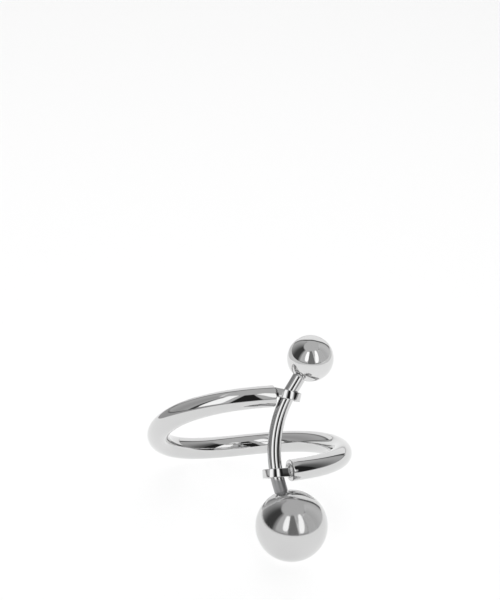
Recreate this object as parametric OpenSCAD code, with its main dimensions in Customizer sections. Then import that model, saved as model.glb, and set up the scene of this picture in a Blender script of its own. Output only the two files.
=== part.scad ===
// A finger ring in the style of a curved barbell. A round rod goes once round the
// finger as a spiral, and each of its two ends carries a small soldered eyelet.
// A bowed bar with a ball on either end stands in front of the finger and passes
// through both eyelets. Sizes are in millimetres.

/* [Band] */
// Inside diameter of the finger hole
inner_d = 17.2; // [15:0.1:20]
// Diameter of the round rod
rod_d = 2.35; // [2:0.05:2.8]
// Rise of the spiral along the finger in one full turn
rise_per_turn = 8.3; // [6:0.1:10]
// How far the band sways from an even spiral, so that it runs level at the back
sway = 0.58; // [0:0.02:0.65]
// Angle from straight behind at which the band runs most level
level_at = 10; // [0:1:20]
// Angle from straight behind at which the lower end is cut
lower_end_at = -156.4; // [-162:0.1:-150]
// Angle from straight behind at which the upper end is cut
upper_end_at = 199.4; // [192:0.1:206]
// How far the upper end is bent down to meet its eyelet
end_drop = 0.18; // [0:0.02:0.3]
// Angle from straight behind at which that bend starts
drop_from = 160; // [140:1:180]

/* [Eyelets] */
// Outside diameter of each eyelet
eyelet_d = 2.7; // [2.5:0.05:3]
// Thickness of the strip that an eyelet is bent from
eyelet_wall = 0.3; // [0.25:0.05:0.35]
// Width of that strip, along the bar
eyelet_h = 0.95; // [0.7:0.05:1.2]
// Width of the neck where the two ends of the strip meet the band
neck_w = 1; // [0.8:0.05:1.2]
// How far the axis of the upper eyelet leans to the right
upper_eyelet_lean = 20; // [15:1:25]
// How far the axis of the lower eyelet leans to the right
lower_eyelet_lean = 3; // [-2:1:6]

/* [Bar] */
// Diameter of the bar
bar_d = 1.45; // [1.2:0.05:1.5]
// Radius of the bow of the bar, on its centre line
bow_r = 12.5; // [11:0.5:14]
// Angle that the bow sweeps through
bow_sweep = 47.5; // [40:0.5:50]
// How far the middle of the bow leans to the right
bow_lean = 14.1; // [10:0.1:18]
// Distance of the bar in front of the middle of the finger
bar_front = 9.17; // [9:0.01:9.3]
// Middle of the bow to the right of the middle of the finger
bow_x = 2.85; // [2.7:0.01:3]
// Middle of the bow above the middle of the band
bow_z = -0.32; // [-0.5:0.01:-0.1]
// Straight length from the bow to the middle of the small ball
top_straight = 4.1; // [3.8:0.1:5]
// Straight length from the bow to the middle of the large ball
bottom_straight = 4.6; // [4.4:0.1:6]
// Where the upper eyelet sits on the bow, as an angle above its middle
upper_eyelet_at = 21.5; // [20:0.5:22]
// Where the lower eyelet sits on the bow, as an angle below its middle
lower_eyelet_at = 18; // [17:0.5:19]

/* [Balls] */
// Diameter of the small ball
small_ball_d = 5; // [4.5:0.1:5.5]
// Diameter of the large ball
large_ball_d = 7.75; // [7:0.05:8.5]
// Thickness of the wall of both hollow balls
ball_wall = 0.3; // [0.2:0.05:0.5]
// How far the bar reaches into the small ball
in_small_ball = 1.6; // [1:0.1:2]
// How far the bar reaches into the large ball
in_large_ball = 2.2; // [1.5:0.1:3]
// Gap all round the bar where it enters a ball
hole_gap = 0.04; // [0.03:0.01:0.06]

/* [Resting pose] */
// How far the front of the ring is tipped up when it lies on the large ball
rest_tilt = 32.91; // [30:0.01:40]
// How far the ring then leans to the left
rest_lean = 9.83; // [-2:0.01:12]
// How far it is turned on the table, so that the bar faces the front
rest_turn = 5.36; // [-10:0.01:10]

/* [Hidden] */
metal = "gainsboro";
tube_sides = 24;
rod_steps = 96;
bow_steps = 24;
round_fn = 96;
neck_sunk = 0.4;
band_r = (inner_d + rod_d) / 2;
rod_r = rod_d / 2;
eyelet_r = eyelet_d / 2;
bar_r = bar_d / 2;

// Height of the band's centre line at an angle from straight behind
function bend_share(a) = max(0, (a - drop_from) / (upper_end_at - drop_from));
function band_z(a) = rise_per_turn * (a - level_at) / 360
    - sway * sin(2 * (a - level_at))
    - end_drop * pow(bend_share(a), 2);
function band_point(a) = [-band_r * sin(a), band_r * cos(a), band_z(a)];

// Unit vectors along the band, straight out from the finger, and across both
function unit(v) = v / norm(v);
function band_along(a) = unit(band_point(a + 0.1) - band_point(a - 0.1));
function band_out(a) = [-sin(a), cos(a), 0];
function band_across(a) = unit(cross(band_along(a), band_out(a)));

// A circle of points round a centre, in the plane of two unit vectors
function circle_in(centre, u, v, r) = [
    for (i = [0:tube_sides - 1])
        let (t = 360 * i / tube_sides)
            centre + r * (cos(t) * u + sin(t) * v)
];

// A point on the bar's centre line, in the bar's own upright plane: an angle up
// the bow from its middle, then a straight length onward along the bar
function bow_point(t, onward = 0) = [
    bow_r * (1 - cos(t)) + onward * sin(t),
    0,
    bow_r * sin(t) + onward * cos(t)
];

// The same point in the ring's frame, where Z runs along the finger
function lean_right(p, t) = [p.x * cos(t) + p.z * sin(t), p.y, p.z * cos(t) - p.x * sin(t)];
function bar_point(t, onward = 0) =
    [bow_x, -bar_front, bow_z] + lean_right(bow_point(t, onward), bow_lean);
small_ball_at = bar_point(bow_sweep / 2, top_straight);
large_ball_at = bar_point(-bow_sweep / 2, -bottom_straight);

// From the ring's frame to the resting pose
function tip_up(p) = [
    p.x,
    p.y * cos(rest_tilt) + p.z * sin(rest_tilt),
    p.z * cos(rest_tilt) - p.y * sin(rest_tilt)
];
function turn_left(p, t) = [p.x * cos(t) - p.y * sin(t), p.y * cos(t) + p.x * sin(t), p.z];
function at_rest(p) = turn_left(lean_right(tip_up(p), -rest_lean), rest_turn);

// The outermost points of the resting ring, for its place on the origin
extremes = concat(
    [for (a = [lower_end_at:1:upper_end_at]) [at_rest(band_point(a)), rod_r]],
    [[at_rest(small_ball_at), small_ball_d / 2]],
    [[at_rest(large_ball_at), large_ball_d / 2]]
);
function lowest(k) = min([for (e = extremes) e[0][k] - e[1]]);
function highest(k) = max([for (e = extremes) e[0][k] + e[1]]);
origin = [
    (lowest(0) + highest(0)) / 2,
    (lowest(1) + highest(1)) / 2,
    lowest(2)
];

// Lays a piece that is drawn in the ring's frame down in the resting pose
module laid() {
    translate(-origin)
        rotate([-rest_tilt, -rest_lean, rest_turn])
            children();
}

// Places a piece along the bar, with its Z axis along the bar
module on_bar(t, onward = 0) {
    translate(bar_point(t, onward))
        rotate([0, bow_lean + t, 0])
            children();
}

// A round solid that runs through circles of points, from the first to the last
module tube(circles) {
    last = len(circles) - 1;
    sides = [for (k = [0:last - 1], i = [0:tube_sides - 1])
        let (j = (i + 1) % tube_sides, near = k * tube_sides, far = near + tube_sides)
            [near + i, far + i, far + j, near + j]];
    start_face = [for (i = [0:tube_sides - 1]) i];
    end_face = [for (i = [tube_sides - 1:-1:0]) last * tube_sides + i];
    polyhedron([for (c = circles) each c], concat([start_face], sides, [end_face]));
}

// The round rod of the band, cut square at both ends
module rod() {
    turn = upper_end_at - lower_end_at;
    angles = [for (k = [0:rod_steps]) lower_end_at + turn * k / rod_steps];
    tube([for (a = angles) circle_in(band_point(a), band_out(a), band_across(a), rod_r)]);
}

// An eyelet round the bar, with its neck sunk a little way into an end of the rod
module eyelet(t, lean, end_at) {
    centre = bar_point(t);
    to_end = lean_right(band_point(end_at) - centre, -lean);
    neck_turn = atan2(to_end.y, to_end.x);
    neck_l = norm([to_end.x, to_end.y]) + neck_sunk;
    translate(centre)
        rotate([0, lean, 0])
            rotate([0, 0, neck_turn])
                difference() {
                    union() {
                        cylinder(r = eyelet_r, h = eyelet_h, center = true, $fn = round_fn);
                        translate([0, -neck_w / 2, -eyelet_h / 2])
                            cube([neck_l, neck_w, eyelet_h]);
                    }
                    cylinder(r = eyelet_r - eyelet_wall, h = 2 * eyelet_h, center = true, $fn = round_fn);
                }
}

module band() {
    color(metal)
        laid()
            union() {
                rod();
                eyelet(upper_eyelet_at, upper_eyelet_lean, upper_end_at);
                eyelet(-lower_eyelet_at, lower_eyelet_lean, lower_end_at);
            }
}

// The bar's cross section at an angle up the bow, or straight onward from there
function bar_section(t, onward = 0) = circle_in(
    bar_point(t, onward),
    lean_right([1, 0, 0], bow_lean + t),
    [0, 1, 0],
    bar_r
);

module bar() {
    top_l = top_straight - small_ball_d / 2 + in_small_ball;
    bottom_l = bottom_straight - large_ball_d / 2 + in_large_ball;
    bow_angles = [for (k = [0:bow_steps]) bow_sweep * (k / bow_steps - 0.5)];
    color(metal)
        laid()
            tube(concat(
                [bar_section(-bow_sweep / 2, -bottom_l)],
                [for (t = bow_angles) bar_section(t)],
                [bar_section(bow_sweep / 2, top_l)]
            ));
}

// A hollow ball with a round hole for the bar, which comes in from below
module ball(d) {
    difference() {
        sphere(d = d, $fn = round_fn);
        sphere(d = d - 2 * ball_wall, $fn = round_fn);
        translate([0, 0, -d])
            cylinder(r = bar_r + hole_gap, h = d, $fn = round_fn);
    }
}

module small_ball() {
    color(metal)
        laid()
            on_bar(bow_sweep / 2, top_straight)
                ball(small_ball_d);
}

module large_ball() {
    color(metal)
        laid()
            on_bar(-bow_sweep / 2, -bottom_straight)
                rotate([180, 0, 0])
                    ball(large_ball_d);
}

band();
bar();
small_ball();
large_ball();
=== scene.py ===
"""A polished silver finger ring in the style of a curved barbell.

The ring lies on its side on a plain pale floor, on the back of its band and on its large ball.
Sizes are in millimetres and angles in degrees. The ring's own frame has X to the right, Y to the
back, and Z along the finger.
"""
import math

import bpy
from mathutils import Euler, Matrix, Vector


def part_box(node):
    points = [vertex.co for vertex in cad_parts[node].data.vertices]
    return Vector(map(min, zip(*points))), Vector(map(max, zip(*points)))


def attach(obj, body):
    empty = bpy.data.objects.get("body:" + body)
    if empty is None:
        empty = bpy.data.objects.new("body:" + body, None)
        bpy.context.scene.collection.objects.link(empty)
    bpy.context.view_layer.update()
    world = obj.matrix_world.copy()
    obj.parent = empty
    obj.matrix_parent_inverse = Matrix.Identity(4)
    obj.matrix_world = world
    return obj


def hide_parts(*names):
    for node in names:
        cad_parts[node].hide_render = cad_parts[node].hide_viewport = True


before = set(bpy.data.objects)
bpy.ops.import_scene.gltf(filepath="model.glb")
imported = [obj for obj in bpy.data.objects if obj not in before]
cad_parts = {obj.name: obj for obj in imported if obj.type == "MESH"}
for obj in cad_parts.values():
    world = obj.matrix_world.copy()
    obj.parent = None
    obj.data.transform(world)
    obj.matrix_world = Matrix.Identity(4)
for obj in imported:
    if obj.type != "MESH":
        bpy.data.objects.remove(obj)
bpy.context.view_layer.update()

# The bar: a 1.45 mm round silver wire, bent to an even bow with straight ends. It passes through both
# eyelets of the band, and ends inside the two balls. Its lower end gives the whole ring its place,
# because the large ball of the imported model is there.
MM = 0.001
BAR_D = 1.45
BOW_R = 12.5
BOW_SWEEP = 47.5
BOW_LEAN = 14.1
BOW_MIDDLE = Vector((2.85, -9.17, -0.32))
TOP_STRAIGHT = 4.1
BOTTOM_STRAIGHT = 4.6
SMALL_BALL_D = 5.0
LARGE_BALL_D = 7.75
IN_SMALL_BALL = 1.6
IN_LARGE_BALL = 2.2
BAR_SIDES = 64
BOW_STEPS = 80
STRAIGHT_STEPS = 8
REST_TILT = 32.91
REST_LEAN = 9.83
REST_TURN = 5.36


def bar_point(angle, onward=0.0):
    """A point of the bar's centre line: an angle up its bow, then a straight length onward."""
    t = math.radians(angle)
    bowed = Vector((BOW_R * (1 - math.cos(t)) + onward * math.sin(t), 0,
                    BOW_R * math.sin(t) + onward * math.cos(t)))
    return BOW_MIDDLE + Matrix.Rotation(math.radians(BOW_LEAN), 3, "Y") @ bowed


SMALL_BALL_AT = bar_point(BOW_SWEEP / 2, TOP_STRAIGHT)
LARGE_BALL_AT = bar_point(-BOW_SWEEP / 2, -BOTTOM_STRAIGHT)
lie = Euler([math.radians(a) for a in (-REST_TILT, -REST_LEAN, REST_TURN)]).to_matrix()
ball_low, ball_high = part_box("large_ball")
ring_centre = (ball_low + ball_high) / 2 - lie @ LARGE_BALL_AT * MM


def at_rest(point):
    """A point of the ring's own frame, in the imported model's frame and in metres."""
    return ring_centre + lie @ Vector(point) * MM


def bar_hoop(angle, onward=0.0):
    """A cross section of the bar: its centre, two unit vectors across the bar, and its radius."""
    across = Matrix.Rotation(math.radians(BOW_LEAN + angle), 3, "Y") @ Vector((1, 0, 0))
    return bar_point(angle, onward), across, Vector((0, 1, 0)), BAR_D / 2


def bar_hoops():
    """The whole bar, from inside the large ball to inside the small one."""
    below = BOTTOM_STRAIGHT - LARGE_BALL_D / 2 + IN_LARGE_BALL
    above = TOP_STRAIGHT - SMALL_BALL_D / 2 + IN_SMALL_BALL
    steps = range(STRAIGHT_STEPS)
    hoops = [bar_hoop(-BOW_SWEEP / 2, -below * (1 - k / STRAIGHT_STEPS)) for k in steps]
    hoops += [bar_hoop(BOW_SWEEP * (k / BOW_STEPS - 0.5)) for k in range(BOW_STEPS + 1)]
    return hoops + [bar_hoop(BOW_SWEEP / 2, above * (k + 1) / STRAIGHT_STEPS) for k in steps]


def round_rod(hoops, sides):
    """Vertices and faces of a closed round rod through hoops: (centre, across, across, radius)."""
    corners = []
    for centre, u, v, radius in hoops:
        for i in range(sides):
            t = 2 * math.pi * i / sides
            corners.append(centre + radius * (math.cos(t) * u + math.sin(t) * v))
    last = (len(hoops) - 1) * sides
    faces = [list(reversed(range(sides))), [last + i for i in range(sides)]]
    for k in range(len(hoops) - 1):
        near, far = k * sides, (k + 1) * sides
        for i in range(sides):
            j = (i + 1) % sides
            faces.append([near + i, near + j, far + j, far + i])
    return corners, faces


def piece(name, solid):
    """A smooth object that rides on the ring, of one closed solid given in the ring's frame."""
    corners, faces = solid
    mesh = bpy.data.meshes.new(name)
    mesh.from_pydata([at_rest(c) for c in corners], [], faces)
    mesh.shade_smooth()
    made = bpy.data.objects.new(name, mesh)
    bpy.context.scene.collection.objects.link(made)
    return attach(made, "root")


def linear(hex_colour):
    """An sRGB hex colour as linear red, green, blue and alpha."""
    parts = [int(hex_colour[i:i + 2], 16) / 255 for i in (1, 3, 5)]
    return [c / 12.92 if c <= 0.04045 else ((c + 0.055) / 1.055) ** 2.4 for c in parts] + [1.0]


def add(tree, kind, inputs=(), **settings):
    """Adds a node with its settings. inputs gives each socket a value or another node's output.

    Sockets that share a name go by number: a Mix node has its share at 0, its plain values at 2 and 3,
    and its colours at 6 and 7.
    """
    node = tree.nodes.new(kind)
    for name, value in settings.items():
        setattr(node, name, value)
    for socket, value in dict(inputs).items():
        if isinstance(value, bpy.types.NodeSocket):
            tree.links.new(value, node.inputs[socket])
        else:
            node.inputs[socket].default_value = value
    return node


# Sterling silver, plated with rhodium: a white metal, a little darker than bare silver, tumbled and
# then buffed to a mirror. The buffing leaves long shallow waves, which make reflected edges wander,
# and hairlines that soften the reflections by a trace. Real hairlines are finer. These are drawn as
# coarse as they need to be to show.
RHODIUM = "#D3D3D3"
HAIRLINE_MM = 0.12
HAIRLINE_DETAIL = 3.0
HAIRLINE_BREAK_UP = 0.6
HAIRLINE_SPREAD = 0.3
WAVE_DETAIL = 1.0
WAVE_BREAK_UP = 0.4
NOISE_LOW, NOISE_HIGH = 0.3, 0.7


def rhodium_silver(name, colour, roughness, wave_mm, wave_depth_mm):
    """Rhodium-plated silver: its mean roughness, and the length and depth of its buffing waves."""
    material = bpy.data.materials.new(name)
    material.use_nodes = True
    tree = material.node_tree
    shader = tree.nodes["Principled BSDF"]
    shader.inputs["Base Color"].default_value = linear(colour)
    shader.inputs["Metallic"].default_value = 1.0
    place = add(tree, "ShaderNodeTexCoord").outputs["Object"]
    hairlines = add(tree, "ShaderNodeTexNoise",
                    {"Vector": place, "Scale": 1 / (HAIRLINE_MM * MM),
                     "Detail": HAIRLINE_DETAIL, "Roughness": HAIRLINE_BREAK_UP})
    scratched = add(tree, "ShaderNodeMapRange",
                    {"Value": hairlines.outputs["Fac"], "From Min": NOISE_LOW, "From Max": NOISE_HIGH,
                     "To Min": roughness * (1 - HAIRLINE_SPREAD),
                     "To Max": roughness * (1 + HAIRLINE_SPREAD)})
    tree.links.new(scratched.outputs["Result"], shader.inputs["Roughness"])
    waves = add(tree, "ShaderNodeTexNoise",
                {"Vector": place, "Scale": 1 / (wave_mm * MM),
                 "Detail": WAVE_DETAIL, "Roughness": WAVE_BREAK_UP})
    buffed = add(tree, "ShaderNodeBump",
                 {"Height": waves.outputs["Fac"], "Distance": wave_depth_mm * MM, "Strength": 1.0})
    tree.links.new(buffed.outputs["Normal"], shader.inputs["Normal"])
    return material


# The wire keeps the fine lines of the drawing plate along its length. They are drawn by the direction
# that its surface faces, which changes round the wire and hardly along it. Real ones are finer. These
# are 0.1 mm apart, so that they show. The wire's left flank and the short stretch below the lower eyelet
# are rougher, and their colour is painted greyer as painted shade, for the darker reflections they show.
LINES_PER_TURN = 45
LINE_MM = math.pi * BAR_D / LINES_PER_TURN
LINE_DEPTH_MM = 0.0015
LINE_DETAIL = 3.0
# Painted shade: the greyer colour painted on the wire's left flank and below the lower eyelet.
PAINTED_SHADE_GREY = "#A7A7A8"
FLANK_FROM, FLANK_TO = -0.45, -0.57
FLANK_ROUGHNESS = 0.12
# Below the lower eyelet, between the bar's points at these angles, the colour is painted greyer as
# painted shade and the surface is rougher.
DULLER_AND_SHADED_END_AT = (-18.5, -20)
END_FROM, END_TO = (at_rest(bar_point(angle)).z for angle in DULLER_AND_SHADED_END_AT)
END_ROUGHNESS = 0.45


def drawn_wire_and_painted_shade(material):
    """Adds the drawing lines to the bar's silver, makes its left flank and the stretch below the lower
    eyelet rougher, and paints shade into their colour.
    """
    tree = material.node_tree
    shader = tree.nodes["Principled BSDF"]
    facing_way = add(tree, "ShaderNodeNewGeometry").outputs["Normal"]
    lines = add(tree, "ShaderNodeTexNoise",
                {"Vector": facing_way, "Scale": BAR_D / 2 / LINE_MM, "Detail": LINE_DETAIL})
    lined = add(tree, "ShaderNodeBump",
                {"Height": lines.outputs["Fac"], "Distance": LINE_DEPTH_MM * MM,
                 "Normal": shader.inputs["Normal"].links[0].from_socket})
    tree.links.new(lined.outputs["Normal"], shader.inputs["Normal"])
    to_right = add(tree, "ShaderNodeSeparateXYZ", {0: facing_way}).outputs["X"]
    place = add(tree, "ShaderNodeTexCoord").outputs["Object"]
    level = add(tree, "ShaderNodeSeparateXYZ", {0: place}).outputs["Z"]
    colour = linear(RHODIUM)
    roughness = shader.inputs["Roughness"].links[0].from_socket
    # Each pass makes a part rougher and paints shade into its colour: first the flank that faces left,
    # then the stretch below the lower eyelet.
    for value, start, end, dull_roughness in ((to_right, FLANK_FROM, FLANK_TO, FLANK_ROUGHNESS),
                                              (level, END_FROM, END_TO, END_ROUGHNESS)):
        duller_and_painted_shade = add(tree, "ShaderNodeMapRange", {"Value": value, "From Min": start, "From Max": end})
        share = duller_and_painted_shade.outputs["Result"]
        colour = add(tree, "ShaderNodeMix", {0: share, 6: colour, 7: linear(PAINTED_SHADE_GREY)},
                     data_type="RGBA").outputs[2]
        roughness = add(tree, "ShaderNodeMix", {0: share, 2: roughness, 3: dull_roughness}).outputs[0]
    tree.links.new(colour, shader.inputs["Base Color"])
    tree.links.new(roughness, shader.inputs["Roughness"])


bar = piece("bar_polished", round_rod(bar_hoops(), BAR_SIDES))
silver_wire = rhodium_silver("rhodium_silver_wire", RHODIUM,
                             roughness=0.04, wave_mm=3.0, wave_depth_mm=0.003)
drawn_wire_and_painted_shade(silver_wire)
bar.data.materials.append(silver_wire)
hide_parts("bar")

# The balls: thin silver, stamped as two cups that are soldered together and buffed until no seam
# shows. Each has a round hole with a softened lip, which the bar is fixed in. The large one has the
# softer polish of the two, and is a trace greyer.
SMALL_BALL_SILVER = "#DBDBDB"
LARGE_BALL_SILVER = "#D1D1D1"
BALL_WALL = 0.3
HOLE_GAP = 0.04
HOLE_R = BAR_D / 2 + HOLE_GAP
LIP_ROUND = 0.06
LIP_STEPS = 5
BALL_SIDES = 160
BALL_STEPS = 96


def ball_profile(diameter):
    """Half of a ball's cross section as (reach, level) pairs, from inside its wall out over its lip."""
    outer, inner = diameter / 2, diameter / 2 - BALL_WALL
    hole_turn = math.asin(HOLE_R / inner)
    lip_reach = HOLE_R + LIP_ROUND
    lip_turn = math.asin(lip_reach / (outer - LIP_ROUND))
    lip_level = (outer - LIP_ROUND) * math.cos(lip_turn)
    half = BALL_STEPS // 2
    turns = [math.pi - (math.pi - hole_turn) * k / half for k in range(half + 1)]
    profile = [(inner * math.sin(t), inner * math.cos(t)) for t in turns]
    turns = [math.pi - (math.pi / 2 + lip_turn) * k / LIP_STEPS for k in range(LIP_STEPS + 1)]
    profile += [(lip_reach + LIP_ROUND * math.cos(t), lip_level + LIP_ROUND * math.sin(t)) for t in turns]
    turns = [lip_turn + (math.pi - lip_turn) * k / BALL_STEPS for k in range(1, BALL_STEPS + 1)]
    return profile + [(outer * math.sin(t), outer * math.cos(t)) for t in turns]


def hollow_ball(centre, diameter, bar_angle, hole_side):
    """Vertices and faces of a ball whose hole is at hole_side, -1 or 1, along the bar from its middle."""
    turned = Matrix.Rotation(math.radians(BOW_LEAN + bar_angle), 3, "Y")
    if hole_side < 0:
        turned = turned @ Matrix.Rotation(math.pi, 3, "X")
    profile = ball_profile(diameter)
    corners = [centre + turned @ Vector((0, 0, profile[0][1]))]
    for reach, level in profile[1:-1]:
        for i in range(BALL_SIDES):
            t = 2 * math.pi * i / BALL_SIDES
            corners.append(centre + turned @ Vector((reach * math.cos(t), reach * math.sin(t), level)))
    corners.append(centre + turned @ Vector((0, 0, profile[-1][1])))
    hoops = len(profile) - 2
    last = 1 + (hoops - 1) * BALL_SIDES
    faces = []
    for i in range(BALL_SIDES):
        j = (i + 1) % BALL_SIDES
        faces.append([0, 1 + i, 1 + j])
        faces.append([last + i, len(corners) - 1, last + j])
        for k in range(hoops - 1):
            near, far = 1 + k * BALL_SIDES, 1 + (k + 1) * BALL_SIDES
            faces.append([near + i, far + i, far + j, near + j])
    return corners, faces


small_ball = piece("small_ball_polished", hollow_ball(SMALL_BALL_AT, SMALL_BALL_D, BOW_SWEEP / 2, -1))
small_ball.data.materials.append(rhodium_silver("rhodium_silver_small_ball", SMALL_BALL_SILVER,
                                                roughness=0.05, wave_mm=4.0, wave_depth_mm=0.002))
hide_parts("small_ball")
large_ball = piece("large_ball_polished", hollow_ball(LARGE_BALL_AT, LARGE_BALL_D, -BOW_SWEEP / 2, 1))
large_ball.data.materials.append(rhodium_silver("rhodium_silver_large_ball", LARGE_BALL_SILVER,
                                                roughness=0.11, wave_mm=5.0, wave_depth_mm=0.002))
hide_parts("large_ball")

# The band: a 2.35 mm round silver rod, wound once round the finger as an open spiral, cut square at
# both ends and polished. The spiral runs level at the back, where the ring lies on the floor.
INNER_D = 17.2
ROD_D = 2.35
BAND_R = (INNER_D + ROD_D) / 2
RISE_PER_TURN = 8.3
SWAY = 0.58
LEVEL_AT = 10
LOWER_END_AT = -156.4
UPPER_END_AT = 199.4
END_DROP = 0.18
DROP_FROM = 160
ROD_SIDES = 72
ROD_STEPS = 320
NEARBY = 0.1
EDGE_ROUND = 0.07
ROUND_STEPS = 5
END_DOME = 0.06
DOME_SHARES = (0.85, 0.65, 0.45, 0.25)


def band_point(angle):
    """A point of the band's centre line, at an angle from straight behind."""
    a = math.radians(angle)
    swayed = SWAY * math.sin(2 * math.radians(angle - LEVEL_AT))
    dropped = END_DROP * max(0.0, (angle - DROP_FROM) / (UPPER_END_AT - DROP_FROM)) ** 2
    height = RISE_PER_TURN * (angle - LEVEL_AT) / 360 - swayed - dropped
    return Vector((-BAND_R * math.sin(a), BAND_R * math.cos(a), height))


def band_along(angle):
    """The direction of the band's centre line at an angle, found from two nearby points."""
    return (band_point(angle + NEARBY) - band_point(angle - NEARBY)).normalized()


def band_hoop(angle, radius=ROD_D / 2, inward=0.0):
    """A cross section of the band, or one of its rounded ends: set inward by a length of the rod."""
    a = math.radians(angle)
    out = Vector((-math.sin(a), math.cos(a), 0))
    across = band_along(angle).cross(out).normalized()
    return band_point(angle) + band_along(angle) * inward, out, across, radius


def band_end(angle, side):
    """Hoops that round off a square cut and close it with a low dome. side is 1 where the rod goes on."""
    turns = [math.radians(90 * k / ROUND_STEPS) for k in range(ROUND_STEPS + 1)]
    hoops = [band_hoop(angle, ROD_D / 2 - EDGE_ROUND * (1 - math.cos(t)),
                       side * (END_DOME + EDGE_ROUND * (1 - math.sin(t)))) for t in turns]
    return hoops + [band_hoop(angle, (ROD_D / 2 - EDGE_ROUND) * share, side * END_DOME * share ** 2)
                    for share in DOME_SHARES]


def band_hoops():
    """The whole rod, from the face of its lower end to the face of its upper end."""
    turn = UPPER_END_AT - LOWER_END_AT
    middle = [band_hoop(LOWER_END_AT + turn * k / ROD_STEPS) for k in range(1, ROD_STEPS)]
    return band_end(LOWER_END_AT, 1)[::-1] + middle + band_end(UPPER_END_AT, -1)


band = piece("band_polished", round_rod(band_hoops(), ROD_SIDES))
silver_rod = rhodium_silver("rhodium_silver_rod", RHODIUM,
                            roughness=0.03, wave_mm=2.5, wave_depth_mm=0.004)
band.data.materials.append(silver_rod)
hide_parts("band")

# The eyelets: a 0.95 mm wide, 0.3 mm thick silver strip with a slightly rounded outside, bent round the
# bar, its two ends soldered with a small lumpy bead to the middle of a cut end of the rod. The lower one
# is pressed to one side, so that the bar isn't quite in its middle.
EYELET_R = 1.35
EYELET_WALL = 0.3
EYELET_H = 0.95
NECK_W = 1.0
NECK_SUNK = 0.3
STRIP_ROUND = 0.06
STRIP_CROWN = 0.012
CROWN_STEPS = 8
STRIP_SIDES = 144
BEAD_R = 0.82
BEAD_H = 0.2
BEAD_SIDES = 48
BEAD_STEPS = 24
BEAD_LUMP = 0.35
BEAD_LUMP_H = 0.16
UPPER_EYELET_AT = 21.5
LOWER_EYELET_AT = 18
UPPER_LEAN = 20
LOWER_LEAN = 3
LOWER_ASIDE = 0.15
FLAT_FACE_WEIGHT = 100


def strip_reach(t, neck_l):
    """Distance from an eyelet's middle to its outside: round, with straight sides to its neck."""
    corner = math.atan2(NECK_W / 2, neck_l)
    if t < corner:
        return neck_l / math.cos(t)
    touch = corner + math.acos(EYELET_R / math.hypot(neck_l, NECK_W / 2))
    if t < touch:
        return EYELET_R / math.cos(touch - t)
    return EYELET_R


def eyelet(bar_angle, lean, end_angle, aside):
    """Vertices and faces of an eyelet a little aside of the bar, with its neck in an end of the rod."""
    centre = bar_point(bar_angle) - Vector((aside, 0, 0))
    leaning = Matrix.Rotation(math.radians(lean), 3, "Y")
    to_end = leaning.inverted() @ (band_point(end_angle) - centre)
    neck_l = math.hypot(to_end.x, to_end.y) + NECK_SUNK
    turned = leaning @ Matrix.Rotation(math.atan2(to_end.y, to_end.x), 3, "Z")
    inside = EYELET_R - EYELET_WALL + STRIP_ROUND
    top = EYELET_H / 2 - STRIP_ROUND
    corners = []
    for i in range(STRIP_SIDES):
        around = 2 * math.pi * i / STRIP_SIDES
        outside = strip_reach(min(around, 2 * math.pi - around), neck_l) - STRIP_ROUND
        edge = outside - STRIP_CROWN
        strip = []
        for first, reach, level in ((0, edge, top), (90, inside, top),
                                    (180, inside, -top), (270, edge, -top)):
            turns = [math.radians(first + 90 * k / ROUND_STEPS) for k in range(ROUND_STEPS + 1)]
            strip += [(reach + STRIP_ROUND * math.cos(t), level + STRIP_ROUND * math.sin(t))
                      for t in turns]
        for k in range(1, CROWN_STEPS):
            share = 2 * k / CROWN_STEPS - 1
            strip.append((outside + STRIP_ROUND - STRIP_CROWN * share ** 2, top * share))
        corners += [centre + turned @ Vector((r * math.cos(around), r * math.sin(around), level))
                    for r, level in strip]
    loop = len(strip)
    faces = []
    for i in range(STRIP_SIDES):
        near, far = i * loop, (i + 1) % STRIP_SIDES * loop
        for k in range(loop):
            m = (k + 1) % loop
            faces.append([near + k, far + k, far + m, near + m])
    return corners, faces


def solder_bead(end_angle):
    """Vertices and faces of a flat round bead, half sunk in a cut end of the rod."""
    centre, u, v = band_hoop(end_angle)[:3]
    along = band_along(end_angle)
    turns = [math.radians(180 * (k + 0.5) / BEAD_STEPS - 90) for k in range(BEAD_STEPS)]
    return round_rod([(centre + along * BEAD_H * math.sin(t), u, v, BEAD_R * math.cos(t)) for t in turns],
                     BEAD_SIDES)


# Silver solder: left as it set, so its skin is finely wrinkled and it shines less than the buffed parts.
SOLDER_SILVER = "#D0D0D0"
solder = rhodium_silver("rhodium_silver_solder", SOLDER_SILVER,
                        roughness=0.09, wave_mm=0.6, wave_depth_mm=0.01)
lumps = bpy.data.textures.new("solder_lumps", "CLOUDS")
lumps.noise_scale = BEAD_LUMP * MM
soldered = []
for name, end_angle in (("upper_solder", UPPER_END_AT), ("lower_solder", LOWER_END_AT)):
    made = piece(name, solder_bead(end_angle))
    lumpy = made.modifiers.new("lumpy", "DISPLACE")
    lumpy.texture = lumps
    lumpy.strength = BEAD_LUMP_H * MM
    made.data.materials.append(solder)
    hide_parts("band")
    soldered.append(made)
for name, solid in (("upper_eyelet", eyelet(UPPER_EYELET_AT, UPPER_LEAN, UPPER_END_AT, 0)),
                    ("lower_eyelet", eyelet(-LOWER_EYELET_AT, LOWER_LEAN, LOWER_END_AT, LOWER_ASIDE))):
    made = piece(name, solid)
    made.modifiers.new("flat_faces_stay_flat", "WEIGHTED_NORMAL").weight = FLAT_FACE_WEIGHT
    made.data.materials.append(silver_rod)
    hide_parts("band")
    soldered.append(made)

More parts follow.
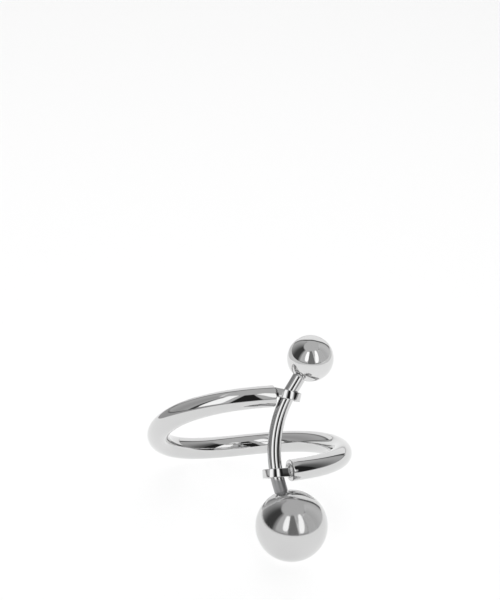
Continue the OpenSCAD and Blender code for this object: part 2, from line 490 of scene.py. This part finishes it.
# The floor: a wide sheet of matt white paper. Its own soft lamp hangs close above it, so that it is
# white round the ring and a little greyer far off.
FLOOR_R = 3000
FLOOR_SIDES = 64
PAPER_WHITE = "#F2F2F2"
PAPER_ROUGHNESS = 0.9
floor_mesh = bpy.data.meshes.new("floor")
floor_turns = [2 * math.pi * i / FLOOR_SIDES for i in range(FLOOR_SIDES)]
floor_mesh.from_pydata([(FLOOR_R * MM * math.cos(t), FLOOR_R * MM * math.sin(t), 0) for t in floor_turns],
                       [], [list(range(FLOOR_SIDES))])
floor = bpy.data.objects.new("floor", floor_mesh)
bpy.context.scene.collection.objects.link(floor)
paper = bpy.data.materials.new("matt_white_paper")
paper.use_nodes = True
paper_inputs = paper.node_tree.nodes["Principled BSDF"].inputs
paper_inputs["Base Color"].default_value = linear(PAPER_WHITE)
paper_inputs["Roughness"].default_value = PAPER_ROUGHNESS
paper_inputs["Specular IOR Level"].default_value = 0.0
floor.data.materials.append(paper)

# The cards on the floor: two grey cards round the ring, out of the picture. The silver shows the lower
# one as the dark parts that reach a little below the horizon. The upper one is clear, and lightens it for
# the balls. Each row of their inner edge is an azimuth, with 0 at the front, and a distance.
FLOOR_CARD_EDGE = ((-165, 66), (-90, 68), (-75, 77), (-60, 88), (-45, 105), (-30, 135),
                   (-10, 220), (20, 220), (45, 140), (75, 125), (140, 130))
GREY_CARD_LEVEL, GREY_CARD_BRIGHTNESS = 0.1, 0.42
BALL_CARD_LEVEL, BALL_CARD_BRIGHTNESS = 0.2, 0.31


def floor_card(name, level, brightness, see_through):
    """A flat card from the rows of its inner edge out to the floor's rim, seen by the silver alone."""
    corners = []
    for edge_azimuth, distance in FLOOR_CARD_EDGE:
        t = math.radians(edge_azimuth)
        for r in (distance, FLOOR_R):
            corners.append((r * MM * math.sin(t), -r * MM * math.cos(t), level * MM))
    mesh = bpy.data.meshes.new(name)
    mesh.from_pydata(corners, [], [(k, k + 1, k + 3, k + 2) for k in range(0, len(corners) - 2, 2)])
    made = bpy.data.objects.new(name, mesh)
    bpy.context.scene.collection.objects.link(made)
    material = bpy.data.materials.new(name)
    material.use_nodes = True
    tree = material.node_tree
    light = add(tree, "ShaderNodeEmission", {"Strength": brightness}).outputs[0]
    if see_through:
        clear = add(tree, "ShaderNodeBsdfTransparent").outputs[0]
        light = add(tree, "ShaderNodeAddShader", {0: light, 1: clear}).outputs[0]
    tree.links.new(light, tree.nodes["Material Output"].inputs["Surface"])
    mesh.materials.append(material)
    made.visible_camera = False
    made.visible_diffuse = False
    made.visible_shadow = False
    return made


floor_card("grey_card", GREY_CARD_LEVEL, GREY_CARD_BRIGHTNESS, False)
ball_card = floor_card("ball_card", BALL_CARD_LEVEL, BALL_CARD_BRIGHTNESS, True)

# The studio: a grey room with a white paper wall behind the ring in a dark frame, and dark cards that
# give the metal its black lines. It is drawn by direction: azimuth 0 is the front, positive to the
# right, and height is above the horizon. A brightness of 1 is the white of the paper.
ROOM_GREY = 0.58
HORIZON_GREY = 0.25
HORIZON_HEIGHT = 6.0
CARD_BLACK = 0.02
CARD_SOFT = 1.5
FRAME_GREY = 0.1
WALL_WHITE = 1.0
world = bpy.data.worlds.new("studio")
bpy.context.scene.world = world
world.use_nodes = True
sky = world.node_tree
way = add(sky, "ShaderNodeTexCoord").outputs["Generated"]
to_right, to_back, to_top = add(sky, "ShaderNodeSeparateXYZ", {0: way}).outputs
to_front = add(sky, "ShaderNodeMath", {0: to_back, 1: -1.0}, operation="MULTIPLY").outputs[0]
turned = add(sky, "ShaderNodeMath", {0: to_right, 1: to_front}, operation="ARCTAN2").outputs[0]
azimuth = add(sky, "ShaderNodeMath", {0: turned}, operation="DEGREES").outputs[0]
raised = add(sky, "ShaderNodeMath", {0: to_top}, operation="ARCSINE").outputs[0]
height = add(sky, "ShaderNodeMath", {0: raised}, operation="DEGREES").outputs[0]
room = add(sky, "ShaderNodeMapRange",
           {"Value": height, "From Min": 0.0, "From Max": HORIZON_HEIGHT,
            "To Min": HORIZON_GREY, "To Max": ROOM_GREY},
           interpolation_type="SMOOTHSTEP").outputs["Result"]

# The dark cards. Each lies over the ones before it. Its row gives its left and right azimuths, its top,
# how far its right edge leans to the left for each degree of height, and then two azimuths with its
# brightness at each.
CARDS = (
    (-11.0, 25.0, 64.0, 0.2, 0.0, CARD_BLACK, 1.0, CARD_BLACK),
    (-152.0, -53.0, 58.0, 0.0, -85.0, 0.06, -145.0, 0.33),
    (78.0, 140.0, 56.0, 0.0, 80.0, 0.1, 132.0, 0.5),
    (55.0, 80.0, 54.0, 0.0, 0.0, CARD_BLACK, 1.0, CARD_BLACK),
)
for left, right, top, slant, dark_at, dark, light_at, light in CARDS:
    slanted = add(sky, "ShaderNodeMath", {0: height, 1: slant, 2: azimuth},
                  operation="MULTIPLY_ADD").outputs[0]
    share = 1.0
    for value, outside, inside in ((azimuth, left - CARD_SOFT, left + CARD_SOFT),
                                   (slanted, right + CARD_SOFT, right - CARD_SOFT),
                                   (height, top + 2 * CARD_SOFT, top - 2 * CARD_SOFT)):
        edge = add(sky, "ShaderNodeMapRange", {"Value": value, "From Min": outside, "From Max": inside},
                   interpolation_type="SMOOTHSTEP").outputs["Result"]
        share = add(sky, "ShaderNodeMath", {0: share, 1: edge}, operation="MULTIPLY").outputs[0]
    shade = add(sky, "ShaderNodeMapRange",
                {"Value": azimuth, "From Min": dark_at, "From Max": light_at,
                 "To Min": dark, "To Max": light}, interpolation_type="SMOOTHSTEP").outputs["Result"]
    room = add(sky, "ShaderNodeMix", {0: share, 2: room, 3: shade}).outputs[0]

# The white wall and its frame, which have rounded corners. Sizes are shares of the wall's distance, and
# the two edges of each are where it starts and where it is full, counted from 1 at the wall's own edge.
WALL_MIDDLE = 0.07
WALL_REACH = 0.59
WALL_TOP = 1.03
WALL_SQUARENESS = 3.0
FRAME_EDGES = (2.6, 2.1)
WALL_EDGES = (1.05, 0.95)
JUST_BEHIND = 0.001
behind = add(sky, "ShaderNodeMath", {0: to_back, 1: JUST_BEHIND}, operation="MAXIMUM").outputs[0]
above = add(sky, "ShaderNodeMath", {0: to_top, 1: 0.0}, operation="MAXIMUM").outputs[0]
off_wall = 0.0
for value, middle, reach in ((to_right, WALL_MIDDLE, WALL_REACH), (above, 0.0, WALL_TOP)):
    for operation, by in (("DIVIDE", behind), ("SUBTRACT", middle), ("DIVIDE", reach),
                          ("ABSOLUTE", 0.0), ("POWER", WALL_SQUARENESS)):
        value = add(sky, "ShaderNodeMath", {0: value, 1: by}, operation=operation).outputs[0]
    off_wall = add(sky, "ShaderNodeMath", {0: off_wall, 1: value}, operation="ADD").outputs[0]
for (outer, inner), brightness in ((FRAME_EDGES, FRAME_GREY), (WALL_EDGES, WALL_WHITE)):
    share = add(sky, "ShaderNodeMapRange", {"Value": off_wall, "From Min": outer, "From Max": inner},
                interpolation_type="SMOOTHSTEP").outputs["Result"]
    room = add(sky, "ShaderNodeMix", {0: share, 2: room, 3: brightness}).outputs[0]
seen_directly = add(sky, "ShaderNodeLightPath").outputs["Is Camera Ray"]
room = add(sky, "ShaderNodeMix", {0: seen_directly, 2: room, 3: WALL_WHITE}).outputs[0]
sky.links.new(room, sky.nodes["Background"].inputs["Strength"])
sky.nodes["Background"].inputs["Color"].default_value = linear("#FFFFFF")

# The lamps: upright soft boxes round the ring. Each row gives a lamp's left and right azimuths, its
# bottom and top heights, its lean to the left, the brightness of its left and right edges, and how square
# its corners are. The band, the eyelets, the bar and the balls are lit apart, each by its own lamps.
LAMP_DISTANCE = 700
LAMP_FADE_FROM = 0.9
BAND_LAMPS = (
    ("band_left_box", -59, -24, 8, 66, 4, 0.8, 0.8, 8),
    ("band_right_box", 25.5, 51, 14, 66, 10, 0.8, 0.8, 8),
    ("band_left_fill", -152, -65, 3, 63, 0, 0.14, 0.46, 90),
)
EYELET_LAMPS = (
    ("eyelet_left_box", -59, -24, 8, 66, 4, 0.8, 0.8, 8),
    ("eyelet_right_box", 27, 51, 14, 66, -8, 0.8, 0.8, 8),
    ("eyelet_left_fill", -152, -65, 3, 63, 0, 0.14, 0.46, 90),
    ("eyelet_neck_fill", -66, -58.5, 6, 32, 0, 0.62, 0.62, 90),
)
BAR_LAMPS = (
    ("bar_left_box", -57, -28, 8, 66, 4, 0.85, 0.85, 8),
    ("bar_right_box", 17, 42, 14, 66, -4, 0.78, 0.78, 8),
    ("bar_left_fill", -146, -62, 1, 63, 0, 0.2, 0.45, 90),
)
BALL_LAMPS = (
    ("ball_left_box", -31, -10, 10, 59, 2, 0.8, 0.8, 3.5),
    ("ball_right_box", 29, 50, 4, 63, -7, 0.8, 0.8, 3.5),
    ("ball_gap_fill_1", -12, 18, 0, 64, 0, 0.19, 0.19, 90),
    ("ball_gap_fill_2", 18, 26, 0, 38, 0, 0.19, 0.19, 90),
    ("ball_left_fill_1", -152, -95, 0, 57, 0, 0.2, 0.0, 90),
    ("ball_left_fill_2", -64, -53, 0, 57, 0, 0.0, 0.35, 90),
    ("ball_right_fill_1", 55, 79.5, 0, 54.5, 0, 0.56, 0.56, 90),
    ("ball_right_fill_2", 79.5, 140, 0, 57, 0, 0.5, 0.06, 90),
)


def lit_group(name, *pieces):
    """A group of the pieces that a lamp lights."""
    group = bpy.data.collections.new(name)
    for member in pieces:
        group.objects.link(member)
    return group


def soft_box(group, name, left, right, bottom, top, lean, left_edge, right_edge, squareness):
    """An upright lamp, between two azimuths and two heights as the ring sees them."""
    az = math.radians((left + right) / 2)
    distance = LAMP_DISTANCE * MM
    low_edge, high_edge = (distance * math.tan(math.radians(e)) for e in (bottom, top))
    lamp = bpy.data.lights.new(name, "AREA")
    lamp.shape = "RECTANGLE"
    lamp.size = 2 * distance * math.tan(math.radians(right - left) / 2)
    lamp.size_y = high_edge - low_edge
    lamp.energy = math.pi * lamp.size * lamp.size_y
    lamp.use_nodes = True
    shade = lamp.node_tree
    on_lamp = add(shade, "ShaderNodeNewGeometry").outputs["Parametric"]
    spot = add(shade, "ShaderNodeSeparateXYZ", {0: on_lamp})
    out_of_middle = []
    for axis in (0, 1):
        out = add(shade, "ShaderNodeMapRange", {"Value": spot.outputs[axis], "To Min": -1.0})
        out = add(shade, "ShaderNodeMath", {0: out.outputs["Result"]}, operation="ABSOLUTE")
        out = add(shade, "ShaderNodeMath", {0: out.outputs[0], 1: squareness}, operation="POWER")
        out_of_middle.append(out.outputs[0])
    outside = add(shade, "ShaderNodeMath", dict(enumerate(out_of_middle)), operation="ADD").outputs[0]
    glow = add(shade, "ShaderNodeMapRange",
               {"Value": spot.outputs["X"], "To Min": left_edge, "To Max": right_edge})
    faded = add(shade, "ShaderNodeMapRange",
                {"Value": outside, "From Min": LAMP_FADE_FROM, "From Max": 1.0,
                 "To Min": glow.outputs["Result"], "To Max": 0.0})
    shade.links.new(faded.outputs["Result"], shade.nodes["Emission"].inputs["Strength"])
    away = Vector((math.sin(az), -math.cos(az), 0))
    made = bpy.data.objects.new(name, lamp)
    made.location = ring_centre + away * distance + Vector((0, 0, (low_edge + high_edge) / 2))
    made.rotation_mode = "QUATERNION"
    leaning = Euler((0, 0, math.radians(lean))).to_quaternion()
    made.rotation_quaternion = away.to_track_quat("Z", "Y") @ leaning
    made.visible_camera = False
    made.light_linking.receiver_collection = group
    bpy.context.scene.collection.objects.link(made)


band_group = lit_group("band_only", band)
eyelet_group = lit_group("eyelets", *soldered)
bar_group = lit_group("bar_only", bar)
ball_group = lit_group("balls", small_ball, large_ball)
for group, lamp_rows in ((band_group, BAND_LAMPS), (eyelet_group, EYELET_LAMPS),
                         (bar_group, BAR_LAMPS), (ball_group, BALL_LAMPS)):
    for lamp_row in lamp_rows:
        soft_box(group, *lamp_row)
ball_card.light_linking.receiver_collection = ball_group

# The floor's lamp: a square soft box that hangs above the ring. It lights the paper alone, and the
# ring casts no shadow from it.
OVERHEAD_AT = 500
OVERHEAD_SIZE = 300
OVERHEAD_BRIGHTNESS = 7.1
overhead_lamp = bpy.data.lights.new("overhead", "AREA")
overhead_lamp.size = OVERHEAD_SIZE * MM
overhead_lamp.energy = OVERHEAD_BRIGHTNESS * math.pi * overhead_lamp.size ** 2
overhead = bpy.data.objects.new("overhead", overhead_lamp)
overhead.location = (0, 0, OVERHEAD_AT * MM)
overhead.visible_camera = False
floor_group = lit_group("floor_only", floor)
overhead.light_linking.receiver_collection = floor_group
overhead.light_linking.blocker_collection = floor_group
bpy.context.scene.collection.objects.link(overhead)

# The camera looks at the ring as the photograph does: with a long lens, from the front of the ring's own
# frame and 4.1 degrees from below, and rolled by 7 degrees. The picture is 500 by 600 pixels, and the
# middle of the ring's frame lies a little to the left of the picture's middle and well below it.
PICTURE_H = 600
FOCAL_PX = 4690
SENSOR_MM = 36
CAMERA_DISTANCE = 510.58
LOOKS_UP = 4.1
CAMERA_ROLL = 7.032
RING_RIGHT = -0.099
RING_UP = -15.286
SEES_FROM, SEES_TO = 10, 20000
camera = bpy.data.objects.new("camera", bpy.data.cameras.new("camera"))
camera.data.sensor_width = SENSOR_MM
camera.data.lens = SENSOR_MM * FOCAL_PX / PICTURE_H
camera.data.clip_start = SEES_FROM * MM
camera.data.clip_end = SEES_TO * MM
upward = Matrix.Rotation(math.radians(90 + LOOKS_UP), 3, "X")
facing = upward @ Matrix.Rotation(math.radians(-CAMERA_ROLL), 3, "Z")
stand = at_rest(facing @ Vector((-RING_RIGHT, -RING_UP, CAMERA_DISTANCE)))
camera.matrix_world = Matrix.Translation(stand) @ (lie @ facing).to_4x4()
bpy.context.scene.collection.objects.link(camera)
bpy.context.scene.camera = camera
bpy.context.scene.view_settings.view_transform = "Standard"
